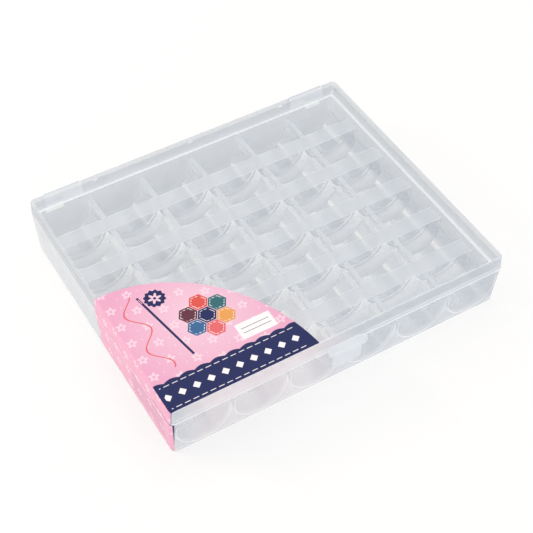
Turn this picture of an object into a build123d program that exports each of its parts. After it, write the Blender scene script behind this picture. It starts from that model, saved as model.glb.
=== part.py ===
"""Hinged storage box for sewing machine bobbins, closed, with a corner label.

Millimetres, +Z up. The origin is on the table under the middle of the box, +X runs along
the long side, -Y is the latch side and +Y the hinge side.
"""
import os
from math import sqrt

from build123d import *

os.makedirs("parts", exist_ok=True)

# Pockets, one for each bobbin
columns = 6
rows = 6
pocket_width = 22.3
pocket_length = 13.7
divide = 2.2
ridge = 7.8
skin = 1.0
foot_gap = 0.2
divide_height = 16.6
ridge_height = 17.0
cusp_tip = 1.0
channel_radius = 1.5

# Base walls
side_margin = 2.6
end_margin = 2.4
base_wall = 1.3
part_height = 20.0
side_lean = 0.8
front_lean = 1.9
rear_lean = 0.5
corner_radius = 2.0
least_radius = 0.3

# Lid
lid_height = 7.2
lid_wall = 1.3
lid_top = 1.3
lid_lean = 0.3
lid_edge = 0.8
gusset_spacing = 45.5
gusset_width = 0.8
gusset_reach = 1.6

# Hinges, one near each end
hinge_end = 7.0
hinge_setback = 0.2
knuckle_radius = 1.7
base_knuckle = 7.8
lid_knuckle = 8.4
knuckle_gap = 0.3
pin_radius = 0.9
pin_clearance = 0.07
pin_length = 7.0
web_margin = 0.4
bracket_drop = 6.0
bracket_rise = 6.0
pad_thickness = 0.9
pad_clearance = 0.5

# Latch
ledge_width = 18.0
ledge_reach = 3.6
ledge_thickness = 1.8
ledge_lift = 0.1
ledge_radius = 2.0
ledge_back_radius = 1.2
ledge_edge = 0.6
tab_clearance = 0.1
film_thickness = 0.4
film_gap = 0.03
tongue_width = 13.2
tongue_thickness = 1.4
tongue_clearance = 0.3
tongue_drop = 9.8
tongue_radius = 1.2
catch_width = 10.0
catch_radius = 0.75
catch_drop = 5.8
hook_radius = 0.7
hook_gap = 0.35

# Label, an ellipse's quarter round the front left corner, cut where the box opens
label_thickness = 0.15
label_shift_x = 2.6
label_shift_y = 9.7
label_radius_x = 61.6
label_radius_y = 72.7
label_front = 0.7
label_split = 0.15
label_foot = 0.4
label_turn = 0.6

# Sizes worked out from those above
column_pitch = pocket_width + divide
row_pitch = pocket_length + ridge
length = columns * pocket_width + (columns - 1) * divide + 2 * side_margin
depth = rows * pocket_length + (rows - 1) * ridge + 2 * end_margin
box_height = part_height + lid_height
pocket_radius = pocket_width / 2
pocket_axis = foot_gap + skin + pocket_radius
shell_radius = pocket_radius + skin
column_places = [(i - (columns - 1) / 2) * column_pitch for i in range(columns)]
row_places = [(i - (rows - 1) / 2) * row_pitch for i in range(rows)]
ridge_places = [(i - (rows - 2) / 2) * row_pitch for i in range(rows - 1)]


def leaning_box(bottom, top, radius):
    """Box with flat leaning walls and rounded corners between two plans.

    A plan is its height, half its width, and where its front and rear walls stand.
    """
    low, half_low, front_low, rear_low = bottom
    high, half_high, front_high, rear_high = top
    with BuildPart() as box:
        with BuildSketch(Plane.XZ):
            Polygon((-half_low, low), (half_low, low), (half_high, high), (-half_high, high), align=None)
        extrude(amount=depth, both=True)
        with BuildSketch(Plane.YZ):
            Polygon((front_low, low), (rear_low, low), (rear_high, high), (front_high, high), align=None)
        extrude(amount=length, both=True, mode=Mode.INTERSECT)
        fillet(box.edges().group_by(Axis.Z)[1], radius)
    return box.part


def base_form(grow):
    """Outside of the base as a solid, grown sideways."""
    side = length / 2 + grow
    front = -depth / 2 - grow
    rear = depth / 2 + grow
    foot = (0, side - side_lean, front + front_lean, rear - rear_lean)
    return leaning_box(foot, (part_height, side, front, rear), max(corner_radius + grow, least_radius))


def lid_block(grow, height):
    """Lid's plan carried up from the parting line to one height, grown sideways."""
    side = length / 2 + grow
    end = depth / 2 + grow
    lean = lid_lean * (height - part_height) / lid_height
    rim = (part_height, side, -end, end)
    return leaning_box(rim, (height, side - lean, lean - end, end - lean), max(corner_radius + grow, least_radius))


def lid_form(grow):
    """Outside of the lid as a solid with its rounded top edge, grown sideways and up."""
    with BuildPart() as form:
        add(lid_block(grow, box_height + grow))
        fillet(form.faces().sort_by(Axis.Z)[-1].edges(), lid_edge + grow)
    return form.part


def cross_bar(radius, width, y, z):
    """Round bar of one width, lying along X over the middle of the box."""
    with BuildPart() as rod:
        with BuildSketch(Plane.YZ):
            with Locations((y, z)):
                Circle(radius)
        extrude(amount=width / 2, both=True)
    return rod.part


# Space inside the base's walls
hollow = base_form(-base_wall)

# Pockets with round floors, and the room above the divides beside the ridges
room_width = length - 2 * side_margin
room_depth = depth - end_margin
with BuildPart() as pocket_space:
    for row, place in enumerate(row_places):
        front = place - pocket_length / 2 - (end_margin if row == 0 else 0)
        rear = place + pocket_length / 2
        with BuildSketch(Plane.XZ.offset(-rear)):
            with Locations(*[(x, pocket_axis) for x in column_places]):
                Circle(pocket_radius)
                Rectangle(pocket_width, part_height - pocket_axis, align=(Align.CENTER, Align.MIN))
        extrude(amount=rear - front)
    with BuildSketch(Plane.XY.offset(divide_height)):
        with Locations((0, -depth / 2)):
            Rectangle(room_width, room_depth, align=(Align.CENTER, Align.MIN))
        with Locations(*[(0, y) for y in ridge_places]):
            Rectangle(room_width, ridge, mode=Mode.SUBTRACT)
    extrude(amount=part_height - divide_height)
    with BuildSketch(Plane.XY.offset(ridge_height)):
        with Locations((0, -depth / 2)):
            Rectangle(room_width, room_depth, align=(Align.CENTER, Align.MIN))
    extrude(amount=part_height - ridge_height)
    add(hollow, mode=Mode.INTERSECT)

# Hollows under the base: a channel in each ridge, and cusps between the round floors
cusp_height = pocket_axis - sqrt(shell_radius**2 - ((column_pitch - cusp_tip) / 2) ** 2)
with BuildPart() as underside:
    with BuildSketch(Plane.XZ.offset(-depth / 2)):
        Rectangle(length, cusp_height, align=(Align.CENTER, Align.MIN))
        with Locations(*[(x, pocket_axis) for x in column_places]):
            Circle(shell_radius, mode=Mode.SUBTRACT)
    extrude(amount=depth)
    with BuildSketch():
        with Locations(*[(0, y) for y in ridge_places]):
            RectangleRounded(room_width, ridge - 2 * skin, channel_radius)
    extrude(amount=ridge_height - skin)
    add(hollow, mode=Mode.INTERSECT)

# Base tray with its pockets, its hinge knuckles and the catch bead on the front
hinge_y = depth / 2 + hinge_setback + knuckle_radius
hinge_z = part_height
hinge_outer = length / 2 - hinge_end
catch_z = part_height - catch_drop
catch_y = -depth / 2 + front_lean * catch_drop / part_height
with BuildPart() as base_tray:
    add(base_form(0))
    add(pocket_space.part, mode=Mode.SUBTRACT)
    add(underside.part, mode=Mode.SUBTRACT)
    for side in (-1, 1):
        with BuildSketch(Plane.YZ.offset(side * (hinge_outer - base_knuckle / 2))):
            with BuildLine():
                Polyline(
                    (depth / 2 - base_wall / 2, hinge_z - web_margin),
                    (hinge_y, hinge_z - web_margin),
                    (hinge_y, hinge_z - knuckle_radius),
                    (depth / 2 - rear_lean - base_wall / 2, hinge_z - bracket_drop),
                    close=True,
                )
            make_face()
            with Locations((hinge_y, hinge_z)):
                Circle(knuckle_radius)
                Circle(pin_radius + pin_clearance, mode=Mode.SUBTRACT)
        extrude(amount=base_knuckle / 2, both=True)
    add(cross_bar(catch_radius, catch_width, catch_y, catch_z))
base_tray.part.label = "base_tray"
export_step(base_tray.part, "parts/base_tray.step")

# Lid with its skirt, stiffening gussets, hinge brackets and hinge pins
lid_inner_top = box_height - lid_top
lid_inner_rear = depth / 2 - lid_wall - lid_lean * (lid_inner_top - part_height) / lid_height
lid_knuckle_outer = hinge_outer - base_knuckle - knuckle_gap
pad_low = hinge_z + knuckle_radius + pad_clearance
pad_high = hinge_z + bracket_rise
pad_width = hinge_outer - (lid_knuckle_outer - lid_knuckle)
with BuildPart() as lid:
    add(lid_form(0))
    add(lid_block(-lid_wall, lid_inner_top), mode=Mode.SUBTRACT)
    for place in (-gusset_spacing, 0, gusset_spacing):
        with BuildSketch(Plane.YZ.offset(place)):
            with BuildLine():
                Polyline(
                    (lid_inner_rear + lid_wall / 2, lid_inner_top - gusset_reach),
                    (lid_inner_rear + lid_wall / 2, lid_inner_top + lid_top / 2),
                    (lid_inner_rear - gusset_reach, lid_inner_top + lid_top / 2),
                    close=True,
                )
            make_face()
        extrude(amount=gusset_width / 2, both=True)
    for side in (-1, 1):
        with BuildSketch(Plane.YZ.offset(side * (lid_knuckle_outer - lid_knuckle / 2))):
            with BuildLine():
                Polyline(
                    (depth / 2 - lid_wall / 2, hinge_z + web_margin),
                    (hinge_y, hinge_z + web_margin),
                    (hinge_y, hinge_z + knuckle_radius),
                    (depth / 2 - lid_lean - lid_wall / 2, pad_high),
                    close=True,
                )
            make_face()
            with Locations((hinge_y, hinge_z)):
                Circle(knuckle_radius)
        extrude(amount=lid_knuckle / 2, both=True)
        with BuildSketch(Plane.YZ.offset(side * lid_knuckle_outer)):
            with Locations((hinge_y, hinge_z)):
                Circle(pin_radius)
        extrude(amount=side * pin_length)
        with BuildSketch(Plane.XZ.offset(-depth / 2 - pad_thickness)):
            with Locations((side * (hinge_outer - pad_width / 2), (pad_low + pad_high) / 2)):
                Rectangle(pad_width, pad_high - pad_low)
        extrude(amount=pad_thickness + lid_lean + lid_wall / 2)
lid.part.label = "lid"
export_step(lid.part, "parts/lid.step")

# Latch tab: a thumb ledge on a thin flexing film, and a tongue whose hook grips the catch
ledge_bottom = part_height + ledge_lift
ledge_top = ledge_bottom + ledge_thickness
ledge_back = -depth / 2 - tab_clearance
tongue_back = -depth / 2 - tongue_clearance
tongue_bottom = part_height - tongue_drop
film_back = -depth / 2 + lid_lean * (ledge_top - part_height) / lid_height - film_gap
hook_z = catch_z - catch_radius - hook_gap - hook_radius
with BuildPart() as latch_tab:
    with BuildSketch(Plane.XY.offset(ledge_bottom)) as ledge_plan:
        with Locations((0, ledge_back)):
            Rectangle(ledge_width, ledge_reach - tab_clearance, align=(Align.CENTER, Align.MAX))
        fillet(ledge_plan.vertices().group_by(Axis.Y)[0], ledge_radius)
        fillet(ledge_plan.vertices().group_by(Axis.Y)[-1], ledge_back_radius)
    extrude(amount=ledge_thickness)
    fillet(latch_tab.faces().sort_by(Axis.Z)[-1].edges().sort_by(Axis.Y)[:-1], ledge_edge)
    with BuildSketch(Plane.XZ.offset(-tongue_back)) as tongue_front:
        with Locations((0, tongue_bottom)):
            Rectangle(tongue_width, ledge_top - tongue_bottom, align=(Align.CENTER, Align.MIN))
        fillet(tongue_front.vertices().group_by(Axis.Y)[0], tongue_radius)
    extrude(amount=tongue_thickness)
    with BuildSketch(Plane.XY.offset(ledge_top - film_thickness)):
        with Locations((0, film_back)):
            Rectangle(tongue_width, film_back - tongue_back, align=(Align.CENTER, Align.MAX))
    extrude(amount=film_thickness)
    add(cross_bar(hook_radius, catch_width, tongue_back, hook_z))
latch_tab.part.label = "latch_tab"
export_step(latch_tab.part, "parts/latch_tab.step")

# Label over the lid's corner and down its left side
corner_x = -length / 2
corner_y = -depth / 2
label_right = label_shift_x + label_radius_x
label_rear = label_radius_y - label_shift_y
with BuildPart() as label_lid:
    add(lid_form(label_thickness))
    add(lid_form(0), mode=Mode.SUBTRACT)
    with BuildSketch(Plane.XY.offset(part_height + label_split)):
        with Locations((corner_x + label_shift_x, corner_y - label_shift_y)):
            Ellipse(label_radius_x, label_radius_y)
        with Locations((corner_x - label_turn, corner_y + label_front)):
            Rectangle(
                label_right + label_turn,
                label_rear,
                align=(Align.MIN, Align.MIN),
                mode=Mode.INTERSECT,
            )
    extrude(amount=box_height, mode=Mode.INTERSECT)
label_lid.part.label = "label_lid"
export_step(label_lid.part, "parts/label_lid.step")

# Label on the base's left side, down to the table edge
with BuildPart() as label_base:
    add(base_form(label_thickness))
    add(base_form(0), mode=Mode.SUBTRACT)
    with BuildSketch(Plane.XY.offset(label_foot)):
        with Locations((corner_x - label_turn, corner_y)):
            Rectangle(side_lean + 2 * label_turn, label_rear, align=(Align.MIN, Align.MIN))
    extrude(amount=part_height - label_split - label_foot, mode=Mode.INTERSECT)
label_base.part.label = "label_base"
export_step(label_base.part, "parts/label_base.step")

for piece in (base_tray, lid, latch_tab, label_lid, label_base):
    box = piece.part.bounding_box()
    print(piece.part.label, len(piece.solids()), "solid", box.min, box.max)
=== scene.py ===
"""Looks of the bobbin storage box: clouded plastic shells, a printed corner label, floor, lamps and camera.

Metres, +Z up. The origin is on the floor under the middle of the box, +X runs along the long
side, -Y is the latch side and +Y the hinge side. Patterns are written in millimetres.
"""
from math import cos, pi, radians, sin, sqrt

import bpy
from mathutils import Matrix, Vector

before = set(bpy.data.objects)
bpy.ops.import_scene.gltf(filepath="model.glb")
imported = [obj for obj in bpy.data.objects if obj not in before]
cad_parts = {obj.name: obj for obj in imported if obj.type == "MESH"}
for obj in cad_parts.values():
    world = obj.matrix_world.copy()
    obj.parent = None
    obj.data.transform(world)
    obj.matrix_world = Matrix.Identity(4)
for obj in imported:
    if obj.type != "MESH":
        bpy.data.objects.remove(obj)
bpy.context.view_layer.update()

MM = 0.001

# Sizes of the box, as the CAD pieces have them, in millimetres
COLUMN_PITCH = 24.5
ROW_PITCH = 21.5
RIDGE_WIDTH = 7.8
RIDGE_HEIGHT = 17.0
FLOOR_RADIUS = 11.15
FLOOR_AXIS = 12.35
ROOM_SIDE = 72.4
ROOM_REAR = 60.6
REAR_WALL = 63.0
SPLIT_HEIGHT = 20.0
BOX_HEIGHT = 27.2

# The pockets' own faces lie between these, and the front and rear walls past them
POCKETS_FRONT = -58.0
POCKETS_REAR = 60.0

# Depth over which the pockets' rear faces and the outer walls grow hazier
HAZE_DEPTH = 15.5

# A face is upright or level where its outward direction's share of height is under or over these,
# and turned sideways where the share along X is over the last
UPRIGHT_LEAN = 0.15
LEVEL_LEAN = 0.7
SIDEWAYS_LEAN = 0.6

# Pads of the lid's hinges, from the middle of the box outwards
HINGE_PAD = (51.3, 68.2)

# Widths of the white lines painted on the tray as highlights
LINE_WIDTH = 0.44
LINE_INSET = 0.3

# Edges broken on the plastic pieces
EDGE_WIDTH = 0.25 * MM
EDGE_SEGMENTS = 2
SHARP_ANGLE = radians(35)
FLAT_ANGLE = radians(0.5)
JOIN_GAP = 0.002 * MM

# Width over which a sharp pattern edge fades, in millimetres or as a share
CRISP = 0.1

# The milky plastic, hazier towards its outlines, with the share of its haze that lamp light ignores
PLASTIC_IOR = 1.49
OUTLINE_FALL = 3.5
OUTLINE_HAZE = 0.6
LET_THROUGH = 0.75

# The label's paper and print
PAPER_GLOSS = 0.25
PAPER_LET_THROUGH = 0.7
FLOWER_PITCH = 9.0
PATCH_RADIUS = 4.2
ROSETTE_MIDDLE = (-41, -29)
BADGE_MIDDLE = (-54.5, -11.5)
LIGHT_MIDDLE = (-44, -28)

# Sockets of the node that mixes two colours, which has several sockets of each name
MIX_SHARE = 0
MIX_UNDER = 6
MIX_OVER = 7

# The studio's own light, where 1 is white, and the floor
STUDIO_LIGHT = 0.76
FLOOR_LIFT = 0.55
FLOOR_SIDE = 6.0

# Layers of plastic that a ray may pass
MOST_LAYERS = 48

# Camera, turned and placed as in the photograph
CAMERA_AZIMUTH = -30.2944
CAMERA_ELEVATION = 48.2713
CAMERA_ROLL = -0.3605
CAMERA_TARGET = Vector((3.247, 1.652, 0)) * MM
CAMERA_DISTANCE = 540.37 * MM
SENSOR_WIDTH = 36
PICTURE_SIDE = 533
FOCAL_PIXELS = 1279.04


class Wire:
    """A shader value that adds Math nodes when it is used in an expression."""

    def __init__(self, nodes, socket):
        self.nodes = nodes
        self.socket = socket

    def maths(self, operation, *others, clamp=False):
        settings = {"operation": operation, "use_clamp": clamp}
        return self.nodes.add("ShaderNodeMath", settings, dict(enumerate((self, *others))))

    def out(self, name):
        """Another output of the node that gives this value."""
        return Wire(self.nodes, self.socket.node.outputs[name])

    def __add__(self, other):
        return self.maths("ADD", other)

    __radd__ = __add__

    def __sub__(self, other):
        return self.maths("SUBTRACT", other)

    def __rsub__(self, other):
        return self * -1 + other

    def __mul__(self, other):
        return self.maths("MULTIPLY", other)

    __rmul__ = __mul__

    def __truediv__(self, other):
        return self.maths("DIVIDE", other)

    def __abs__(self):
        return self.maths("ABSOLUTE")

    def least(self, other):
        return self.maths("MINIMUM", other)

    def most(self, *others):
        greatest = self
        for other in others:
            greatest = greatest.maths("MAXIMUM", other)
        return greatest

    def past(self, limit):
        """One where the value is over the limit, else nothing."""
        return self.maths("GREATER_THAN", limit)

    def below(self, limit, soft=CRISP):
        """One where the value is under the limit, fading to nothing over the width soft."""
        return ((limit - self) / soft).maths("ADD", 0.5, clamp=True)

    def above(self, limit, soft=CRISP):
        """Nothing where the value is under the limit, rising to one over the width soft."""
        return 1 - self.below(limit, soft)

    def line(self, place, width, soft=CRISP):
        """One within a line of that width round the place."""
        return abs(self - place).below(width / 2, soft)

    def between(self, low, high):
        """One between the two limits."""
        return self.line((low + high) / 2, high - low)

    def repeat(self, pitch):
        """How far the value is from the nearest whole number of pitches."""
        return self.maths("WRAP", pitch / 2, -pitch / 2)


class Nodes:
    """A node tree that expressions add to."""

    def __init__(self, tree):
        self.tree = tree
        self.tree.nodes.clear()

    def add(self, kind, settings=None, values=None):
        """Add a node: its settings first, then the values or wires of its sockets."""
        node = self.tree.nodes.new(kind)
        for name, setting in (settings or {}).items():
            setattr(node, name, setting)
        for name, value in (values or {}).items():
            if isinstance(value, Wire):
                self.tree.links.new(value.socket, node.inputs[name])
            else:
                node.inputs[name].default_value = value
        return Wire(self, next((socket for socket in node.outputs if socket.enabled), None))

    def ray_is(self, *kinds):
        """One for a ray of any of the kinds, else nothing."""
        path = self.add("ShaderNodeLightPath")
        first, *rest = [path.out(f"Is {kind} Ray") for kind in kinds]
        return first.most(*rest)


class Finish(Nodes):
    """A material and the nodes that make it."""

    def __init__(self, name):
        self.material = bpy.data.materials.new(name)
        self.material.use_nodes = True
        super().__init__(self.material.node_tree)

    def place(self):
        """The point's place in the row frame, in millimetres."""
        spot = self.add("ShaderNodeSeparateXYZ", {}, {0: self.add("ShaderNodeTexCoord").out("Object")})
        return [spot.out(axis) * (1 / MM) for axis in "XYZ"]

    def outward(self):
        """The direction that points out of the solid, from whichever side it is seen."""
        normal = self.add("ShaderNodeSeparateXYZ", {}, {0: self.add("ShaderNodeTexCoord").out("Normal")})
        turn = 1 - self.add("ShaderNodeNewGeometry").out("Backfacing") * 2
        return [normal.out(axis) * turn for axis in "XYZ"]

    def noise(self, scale, detail=2.0):
        """Noise from 0 to 1, with its scale in cells per metre."""
        at = self.add("ShaderNodeTexCoord").out("Object")
        return self.add("ShaderNodeTexNoise", {}, {"Vector": at, "Scale": scale, "Detail": detail})

    def layer(self, colour, *coats):
        """Lay coats over a colour in turn, each a mask and the colour that it brings."""
        for mask, coat in coats:
            values = {MIX_SHARE: mask, MIX_UNDER: colour, MIX_OVER: coat}
            colour = self.add("ShaderNodeMix", {"data_type": "RGBA"}, values)
        return colour

    def surface(self, shader):
        """End the material in a shader."""
        self.add("ShaderNodeOutputMaterial", {}, {"Surface": shader})
        return self.material

    def gloss(self, **values):
        """The material with the gloss shader, whose sockets are given by name."""
        named = {name.replace("_", " "): value for name, value in values.items()}
        return self.surface(self.add("ShaderNodeBsdfPrincipled", {}, named))


def ink(red, green, blue):
    """A colour given as a screen shows it, 0 to 255, in the renderer's linear light."""
    shares = [value / 255 for value in (red, green, blue)]
    light = [share / 12.92 if share <= 0.04045 else ((share + 0.055) / 1.055) ** 2.4 for share in shares]
    return (*light, 1.0)


# Colours of the plastic. The grey is painted shade along outlines and at the foot, the white is
# painted highlight on the rim, lines, seams and broken edges, the blush is painted light from the
# label's back, and the pale is the thick plastic's own tone and painted light on tops, sides and edges.
SHADE_GREY = ink(150, 155, 169)
SMOKE = ink(191, 198, 207)
WALL = ink(180, 188, 198)
PALE = ink(216, 222, 230)
TAB = ink(229, 234, 240)
HIGHLIGHT_WHITE = ink(246, 250, 254)
PAINTED_LABEL_LIGHT = ink(246, 232, 236)

# Colours of the label
PINK = ink(236, 170, 200)
LIGHT_PINK = ink(243, 206, 223)
FLOWER_PINK = ink(246, 218, 231)
PRINT_WHITE = ink(250, 246, 248)
BACKING = ink(238, 228, 233)
NAVY = ink(18, 29, 86)
TEAL = ink(44, 104, 112)
CORAL = ink(222, 83, 75)
PLUM = ink(96, 42, 62)
BLUE = ink(55, 102, 150)
ROSE = ink(229, 103, 109)
AMBER = ink(232, 160, 84)

FULL_WHITE = (1, 1, 1, 1)
BLACK = (0, 0, 0, 1)


def distance(run, rise):
    return (run * run + rise * rise).maths("SQRT")


def varied(noise, middle, width):
    """A value that moves with the noise, over that width round the middle."""
    return (noise - 0.5) * width + middle


def add_shares(start, *shares):
    """A start with what each mask adds to it, the masks given with their amounts."""
    total = start
    for mask, amount in shares:
        total = total + mask * amount
    return total


def milky_plastic(finish, colour, haze, roughness, edge=SHADE_GREY, **values):
    """Milky see-through plastic. A surface hides the share haze of what is behind it, more where it
    is seen edge on, and there it is painted in the colour edge: painted shade along the outlines
    when edge is grey, a painted sheen when it is pale. It lets most lamp light through to the next."""
    cloud = finish.noise(scale=60, detail=3)
    ripple = finish.noise(scale=260, detail=1)
    bump = finish.add("ShaderNodeBump", {}, {"Strength": 0.05, "Distance": 0.4 * MM, "Height": ripple})
    turned = finish.add("ShaderNodeLayerWeight", {}, {"Blend": 0.5}).out("Facing")
    outline = turned.maths("POWER", OUTLINE_FALL)
    lamp = finish.ray_is("Shadow", "Diffuse", "Glossy")
    cloudy_haze = varied(cloud, 1, 0.3) * haze + outline * OUTLINE_HAZE
    return finish.gloss(
        Base_Color=finish.layer(colour, (outline, edge)),
        Roughness=varied(cloud, roughness, 0.1),
        IOR=PLASTIC_IOR,
        Alpha=(cloudy_haze * (1 - lamp * LET_THROUGH)).least(1),
        Normal=bump,
        **values,
    )


def near_label(x, y):
    """The front left part, painted paler and pinker as light from the pale back of the label. It fades
    out to the rear, to the right and at the corner itself."""
    not_rear = y.below(-48, 30)
    not_right = x.below(-5, 26)
    not_corner = x.above(-66, 14)
    return not_rear * not_right * not_corner


def tray_plastic():
    """Base: smoky pocket walls, hazier low on their rear faces and clearer on their front faces. The tops
    and round sides are painted paler, as painted light, the rim and the lines where walls meet are
    painted white, as painted highlights, and the front left is painted paler and pinker, as light
    from the label. The back of each wall, towards the hollow underneath, is nearly clear."""
    finish = Finish("tray_plastic")
    x, y, z = finish.place()
    out_x, out_y, out_z = finish.outward()
    lean = abs(out_z)
    level = lean.above(LEVEL_LEAN)
    upright = lean.below(UPRIGHT_LEAN, 0.2)

    # place in the pocket's own column and row
    across = (x + COLUMN_PITCH / 2).repeat(COLUMN_PITCH)
    along = abs(y.repeat(ROW_PITCH))
    half_ridge = RIDGE_WIDTH / 2
    depth = ((RIDGE_HEIGHT - z) / HAZE_DEPTH).least(1)
    beyond_floor = distance(across, (z - FLOOR_AXIS).least(0)) - FLOOR_RADIUS
    outside_pocket = beyond_floor.above(0, 0.3)

    # tops of the ridges and divides, and the rim, with painted highlight lines along their edges
    top = z.between(RIDGE_HEIGHT - 1.5, RIDGE_HEIGHT + 1) * level
    divide_top = top * along.above(half_ridge)
    ridge_line = along.line(half_ridge - LINE_INSET, LINE_WIDTH) * top
    rim = z.past(SPLIT_HEIGHT - 0.5) * level
    rim_line = rim * abs(x).below(ROOM_SIDE + 1.3) * y.below(ROOM_REAR + 1.1)
    rim_strength = 0.9 - y.below(POCKETS_REAR, 1) * 0.35

    # outer walls, with painted highlight lines where the pockets end on them and where the box opens
    end = abs(y).above(ROOM_REAR + 0.3)
    wall = abs(x).above(ROOM_SIDE - 0.4).most(end) * upright
    wall_inside = wall * (out_x * x + out_y * y).below(0)
    wall_outside = wall * (1 - wall_inside)
    end_wall = wall_outside * end
    arc_strength = z.below(RIDGE_HEIGHT, 0.5) * (y.below(0, 1) * 0.7 + 0.3)
    arc = beyond_floor.line(0.2, LINE_WIDTH, 0.15) * end_wall * arc_strength
    seam = wall_outside * z.above(SPLIT_HEIGHT - 0.7, 0.3)

    # faces of the pockets, and of the hollow under the ridges
    pocket_wall = upright * (1 - wall)
    rear_face = pocket_wall * out_y.below(0) * y.below(POCKETS_REAR)
    front_face = pocket_wall * out_y.above(0.5) * y.above(POCKETS_FRONT)
    side_face = abs(out_x).past(SIDEWAYS_LEAN) * (1 - wall)
    floor = (1 - upright) * (1 - top)
    channel = along.below(half_ridge - 0.5) * pocket_wall
    skirt = channel * outside_pocket
    back = out_z.below(-0.1).most(channel * (1 - outside_pocket))
    knuckle = y.past(REAR_WALL)

    colour = finish.layer(
        SMOKE,
        (wall * y.below(POCKETS_REAR - 5, 1), WALL),
        # Painted light: tops and sideways faces painted paler; the hinge knuckle is pale thick plastic.
        (top.most(side_face * 0.6, knuckle), PALE),
        # Painted light: the front left painted paler and pinker, as lit through the label's back.
        (near_label(x, y) * 0.55, PAINTED_LABEL_LIGHT),
        # Painted highlights: the rim, the arcs and the seam painted white.
        (rim, HIGHLIGHT_WHITE),
        (arc.most(seam) * 0.8, HIGHLIGHT_WHITE),
    )
    haze = add_shares(
        0.22,
        (rear_face * depth, 0.42),
        (front_face, -0.12),
        (floor, 0.08),
        (floor * across.above(2, 4), 0.4),
        (top, 0.24),
        (divide_top, 0.2),
        (wall, 0.24),
        (wall * depth, 0.16),
        (wall_inside, -0.3),
        (end_wall * (1 - outside_pocket), 0.06),
        (skirt, 0.08),
    )
    # The painted highlight lines are made nearly opaque.
    lines = (ridge_line * 0.7).most(rim_line * rim_strength, arc * 0.7, seam * 0.6)
    clear_back = 1 - back * 0.85
    # Outlines painted pale, a painted sheen.
    return milky_plastic(finish, colour, (haze * clear_back).most(lines), top * 0.16 + 0.22, PALE)


def lid_plastic():
    """Lid: nearly clear top, hazier walls, a rounded edge painted pale and a seam painted white, as
    painted highlights, the front left painted paler as light from the label, and thick pale hinge
    brackets.
    """
    finish = Finish("lid_plastic")
    x, y, z = finish.place()
    lean = abs(finish.outward()[2])
    upright = lean.below(UPRIGHT_LEAN, 0.2)
    rounded = lean.between(0.3, 0.93) * z.past(BOX_HEIGHT - 1)
    hinge_pad = abs(x).between(*HINGE_PAD) * y.past(REAR_WALL - 2) * upright
    bracket = y.past(REAR_WALL).most(hinge_pad)
    seam = upright * z.below(SPLIT_HEIGHT + 0.5, 0.3)
    colour = finish.layer(
        SMOKE,
        # The rounded top edge is painted pale, a painted highlight; the brackets are thick pale plastic.
        (rounded.most(bracket, upright * 0.15), PALE),
        # Painted light: the front left painted paler and pinker, as lit through the label's back.
        (near_label(x, y) * 0.8, PAINTED_LABEL_LIGHT),
        # Painted highlight: the seam painted white.
        (seam, HIGHLIGHT_WHITE),
    )
    haze = (upright * 0.36 + 0.08).most(rounded * 0.5, bracket * 0.45, seam * 0.6)
    # Outlines painted grey as shade, and pale on the brackets.
    edge = finish.layer(SHADE_GREY, (bracket, PALE))
    return milky_plastic(finish, colour, haze, 0.3, edge, Specular_IOR_Level=0.3)


def tab_plastic():
    """Latch tab: thick, so paler all over."""
    finish = Finish("tab_plastic")
    return milky_plastic(finish, TAB, haze=0.5, roughness=0.25)


def bright_edges():
    """Broken edges, painted white and made to give off a little light of their own, as painted
    highlights. Those low in the tray and at the hinges are fainter, and the foot is painted as a grey
    line, a painted shade."""
    finish = Finish("bright_edges")
    x, y, z = finish.place()
    foot = z.below(1.0, 0.4)
    in_tray = z.below(RIDGE_HEIGHT - 1.5, 1) * y.above(POCKETS_FRONT, 1) * abs(x).below(ROOM_SIDE, 1)
    at_hinge = y.above(REAR_WALL, 0.5)
    # Painted highlight on the broken edges, and painted shade along the foot.
    colour = finish.layer(HIGHLIGHT_WHITE, (foot, SHADE_GREY))
    # The broken edges give off a little light of their own, a painted highlight; the foot gives none.
    painted_glow = finish.layer(FULL_WHITE, (foot, BLACK))
    haze = 0.85 - (in_tray * 0.7).most(at_hinge * 0.5)
    return milky_plastic(finish, colour, haze, 0.25, colour, Emission_Color=painted_glow, Emission_Strength=0.2)


def wear(node, *materials):
    """Give a CAD node its materials."""
    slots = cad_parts[node].data.materials
    slots.clear()
    for material in materials:
        slots.append(material)


def modify(node, name, kind, **settings):
    """Give a CAD node a modifier."""
    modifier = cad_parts[node].modifiers.new(name, kind)
    for setting, value in settings.items():
        setattr(modifier, setting, value)


def round_edges(node):
    """Break the sharp edges of a CAD node, and give the new faces its second material."""
    modify(node, "join faces", "WELD", merge_threshold=JOIN_GAP)
    modify(node, "flat faces", "DECIMATE", decimate_type="DISSOLVE", angle_limit=FLAT_ANGLE)
    modify(
        node,
        "broken edges",
        "BEVEL",
        width=EDGE_WIDTH,
        segments=EDGE_SEGMENTS,
        limit_method="ANGLE",
        angle_limit=SHARP_ANGLE,
        material=1,
    )
    modify(node, "even shading", "WEIGHTED_NORMAL", mode="FACE_AREA", weight=100)


def dress_shells():
    edges = bright_edges()
    plastics = {"base_tray": tray_plastic(), "lid": lid_plastic(), "latch_tab": tab_plastic()}
    for node, plastic in plastics.items():
        wear(node, plastic, edges)
        round_edges(node)


def hexagon(x, y, middle, radius):
    """Distance outside a hexagon with a corner to each side, negative inside."""
    run = abs(x - middle[0])
    rise = abs(y - middle[1])
    return (run * (sqrt(3) / 2) + rise * 0.5).most(rise) - radius * sqrt(3) / 2


def blossom(run, rise, radius, petals, petal_depth):
    """Distance outside a round flower, negative inside."""
    turn = rise.maths("ARCTAN2", run) * petals
    return distance(run, rise) - turn.maths("COSINE") * petal_depth - radius


def stitches(along, across, place):
    """Running stitches: dashes along a line."""
    stitch_pitch = 3.5
    stitch_length = 2.3
    stitch_width = 0.3
    return along.repeat(stitch_pitch).line(0, stitch_length) * across.line(place, stitch_width)


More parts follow.
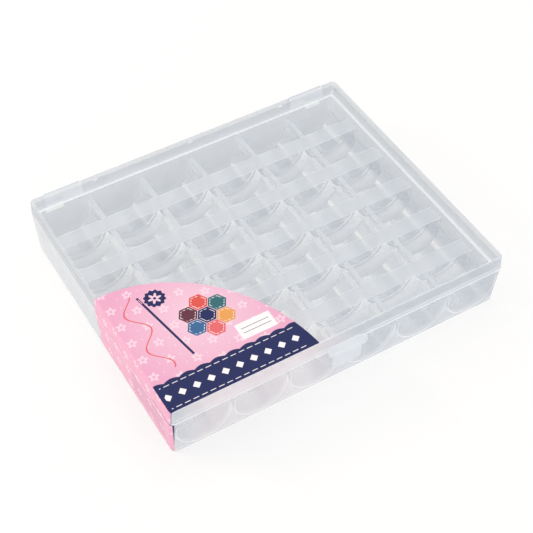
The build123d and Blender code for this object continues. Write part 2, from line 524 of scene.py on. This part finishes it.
def flowers(run, rise):
    """A half drop print of five-petalled flowers, with a dot between them."""
    drop = (run / FLOWER_PITCH).maths("ROUND").maths("FLOORED_MODULO", 2) * (FLOWER_PITCH / 2)
    across = run.repeat(FLOWER_PITCH)
    up = (rise + drop).repeat(FLOWER_PITCH)
    petals = blossom(across, up, radius=1.7, petals=5, petal_depth=0.5).below(0, 0.15)
    eye = distance(across, up).below(0.6, 0.15)
    dot = distance(abs(across) - FLOWER_PITCH / 2, up).below(0.45, 0.15)
    return (petals - eye).most(dot)


def needle_and_thread(x, y):
    """A slanting needle with its eye, and a thread that hangs in waves beside it."""
    needle_x = -60.5
    needle_slant = 0.18
    thread_x = -65.5
    wave_reach = 3.2
    wave_turn = 0.33
    off_needle = (y + 8) * needle_slant + (x - needle_x)
    needle = off_needle.line(0, 1.0) * y.between(-43, -8)
    eye = off_needle.line(0, 0.32, 0.08) * y.between(-11.5, -9)
    off_thread = (y * wave_turn).maths("SINE") * wave_reach + (x - thread_x)
    thread = off_thread.line(0, 0.64, 0.12) * y.between(-45, -6)
    return [(thread, ROSE), (needle - eye, NAVY)]


def rosette(x, y):
    """One hexagon patch and six round it, each stitched inside its edge."""
    edge_gap = 0.12
    stitch_inset = 0.9
    stitch_width = 0.24
    stitch_pitch = 1.8
    stitch_length = 1.1
    coats = []
    for number, colour in enumerate((NAVY, TEAL, CORAL, PLUM, BLUE, ROSE, AMBER)):
        turn = radians(60 * number - 30)
        reach = PATCH_RADIUS * sqrt(3) if number else 0
        middle = (ROSETTE_MIDDLE[0] + reach * cos(turn), ROSETTE_MIDDLE[1] + reach * sin(turn))
        outside = hexagon(x, y, middle, PATCH_RADIUS)
        dashes = (x + y).repeat(stitch_pitch).line(0, stitch_length)
        stitch = outside.line(-stitch_inset, stitch_width) * dashes
        coats += [(outside.below(-edge_gap), colour), (stitch, PRINT_WHITE)]
    return coats


def badge(x, y):
    """A scalloped navy badge with a pale flower."""
    run = x - BADGE_MIDDLE[0]
    rise = y - BADGE_MIDDLE[1]
    ground = blossom(run, rise, radius=4.2, petals=12, petal_depth=0.3).below(0)
    petals = blossom(run, rise, radius=2.0, petals=6, petal_depth=0.8).below(0)
    eye = distance(run, rise).below(0.6)
    return [(ground, NAVY), (petals - eye, LIGHT_PINK)]


def ruled_panel(x, y):
    """A pale panel with two ruled lines."""
    rule_pitch = 2.2
    rule_width = 0.24
    panel = x.between(-35, -20) * y.between(-46.8, -39)
    rules = y.repeat(rule_pitch).line(0, rule_width) * x.between(-33.5, -21.5) * y.between(-46, -40)
    return [(panel, PRINT_WHITE), (rules, NAVY)]


def navy_band(x, y):
    """A band along the front with a scalloped edge, two rows of stitches and a row of diamonds."""
    rear_edge = -49.6
    scallop_pitch = 6.4
    scallop_rise = 0.9
    rear_stitches = -50.9
    front_stitches = -61
    diamond_row = -56
    diamond_pitch = 6.0
    diamond_reach = 1.7
    scallop = abs((x * (pi / scallop_pitch)).maths("SINE")) * scallop_rise
    ground = (y - scallop).below(rear_edge, 0.12)
    diamonds = (abs(x.repeat(diamond_pitch)) + abs(y - diamond_row)).below(diamond_reach, 0.15)
    marks = stitches(x, y, rear_stitches).most(stitches(x, y, front_stitches), diamonds)
    return [(ground, NAVY), (marks * x.between(-73, -16), PRINT_WHITE)]


def side_print(y, z):
    """Ruled lines and a row of stitches, on the part that is turned down the side."""
    rule_pitch = 2.6
    rule_width = 0.32
    rules = z.repeat(rule_pitch).line(0, rule_width) * z.between(4, 16) * y.between(-56, -30)
    return [(rules, NAVY), (stitches(y, z, 18.2), PRINT_WHITE)]


def label_print():
    """Pink printed paper, lighter towards the middle, and plain on its stuck side."""
    finish = Finish("label_print")
    x, y, z = finish.place()
    out_x, _, out_z = finish.outward()
    side = abs(out_x).above(SIDEWAYS_LEAN)
    top = 1 - side
    stuck = out_z.below(-0.5).most(out_x.above(0.5))
    light = distance(x - LIGHT_MIDDLE[0], y - LIGHT_MIDDLE[1]).below(16, 34)
    top_print = needle_and_thread(x, y) + rosette(x, y) + badge(x, y) + ruled_panel(x, y) + navy_band(x, y)
    picture = finish.layer(
        PINK,
        (light * top, LIGHT_PINK),
        (flowers(x * top + y * side, y * top + z * side) * 0.8, FLOWER_PINK),
        *[(mask * top, colour) for mask, colour in top_print],
        *[(mask * side, colour) for mask, colour in side_print(y, z)],
        (stuck, BACKING),
    )
    return finish.gloss(
        Base_Color=picture,
        Roughness=varied(finish.noise(scale=300), 0.38, 0.08),
        Specular_IOR_Level=PAPER_GLOSS,
        Alpha=1 - finish.ray_is("Shadow", "Diffuse") * PAPER_LET_THROUGH,
    )


def dress_label():
    paper = label_print()
    wear("label_lid", paper)
    wear("label_base", paper)


def look_along(azimuth, elevation, roll=0.0):
    """Turn of a camera or lamp that looks from that side of the box towards it, and its line of sight
    backwards, from angles in degrees."""
    side = radians(azimuth)
    height = radians(elevation)
    tilt = radians(roll)
    back = Vector((sin(side) * cos(height), -cos(side) * cos(height), sin(height)))
    right = Vector((cos(side), sin(side), 0))
    up = back.cross(right)
    rolled_right = right * cos(tilt) + up * sin(tilt)
    rolled_up = up * cos(tilt) - right * sin(tilt)
    return Matrix((rolled_right, rolled_up, back)).transposed(), back


def set_camera():
    lens = bpy.data.cameras.new("camera")
    lens.sensor_width = SENSOR_WIDTH
    lens.lens = SENSOR_WIDTH * FOCAL_PIXELS / PICTURE_SIDE
    camera = bpy.data.objects.new("camera", lens)
    turn, back = look_along(CAMERA_AZIMUTH, CAMERA_ELEVATION, CAMERA_ROLL)
    camera.matrix_world = Matrix.Translation(CAMERA_TARGET + back * CAMERA_DISTANCE) @ turn.to_4x4()
    bpy.context.scene.collection.objects.link(camera)
    bpy.context.scene.camera = camera


def add_lamp(name, azimuth, elevation, away, watts, size, colour=(1, 1, 1), leant=False):
    """An area lamp with its width and height. A leant one has its height in line with the pockets, so
    that each pocket's round floor shows it as one straight line."""
    light = bpy.data.lights.new(name, "AREA")
    light.shape = "RECTANGLE"
    light.size, light.size_y = size
    light.energy = watts
    light.color = colour
    lamp = bpy.data.objects.new(name, light)
    turn, back = look_along(azimuth, elevation)
    if leant:
        length = (Vector((0, 1, 0)) - back * back.y).normalized()
        turn = Matrix((length.cross(back), length, back)).transposed()
    lamp.matrix_world = Matrix.Translation(back * away) @ turn.to_4x4()
    bpy.context.scene.collection.objects.link(lamp)


def set_lamps():
    add_lamp("overhead", azimuth=150, elevation=65, away=1.2, watts=2.0, size=(0.9, 0.9))
    add_lamp("front", azimuth=-20, elevation=25, away=1.4, watts=4.0, size=(0.8, 0.8))
    add_lamp(
        "warm strip",
        azimuth=229.5,
        elevation=29,
        away=1.2,
        watts=4.0,
        size=(0.06, 0.5),
        colour=(1, 0.84, 0.6),
        leant=True,
    )


def set_world():
    """A pale studio, white where it is seen directly, in a reflection or through a piece."""
    world = bpy.data.worlds.new("studio")
    world.use_nodes = True
    studio = Nodes(world.node_tree)
    strength = studio.ray_is("Camera", "Glossy", "Transmission") * (1 - STUDIO_LIGHT) + STUDIO_LIGHT
    background = studio.add("ShaderNodeBackground", {}, {"Color": FULL_WHITE, "Strength": strength})
    studio.add("ShaderNodeOutputWorld", {}, {"Surface": background})
    bpy.context.scene.world = world


def floor_paint():
    """Matt white, lifted towards plain white where it is seen, so that it keeps a soft shadow."""
    finish = Finish("pale_floor")
    seen = finish.ray_is("Camera", "Glossy", "Transmission")
    matt = finish.add("ShaderNodeBsdfDiffuse", {}, {"Color": (0.97, 0.97, 0.97, 1)})
    white = finish.add("ShaderNodeEmission", {}, {"Color": FULL_WHITE, "Strength": 1.0})
    return finish.surface(finish.add("ShaderNodeMixShader", {}, {0: seen * FLOOR_LIFT, 1: matt, 2: white}))


def lay_floor():
    reach = FLOOR_SIDE / 2
    mesh = bpy.data.meshes.new("floor")
    corners = [(x * reach, y * reach, 0) for x, y in ((-1, -1), (1, -1), (1, 1), (-1, 1))]
    mesh.from_pydata(corners, [], [(0, 1, 2, 3)])
    mesh.materials.append(floor_paint())
    floor = bpy.data.objects.new("floor", mesh)
    bpy.context.scene.collection.objects.link(floor)


dress_shells()
dress_label()
set_camera()
set_lamps()
set_world()
lay_floor()

bpy.context.scene.view_settings.view_transform = "Standard"
bpy.context.scene.cycles.transparent_max_bounces = MOST_LAYERS
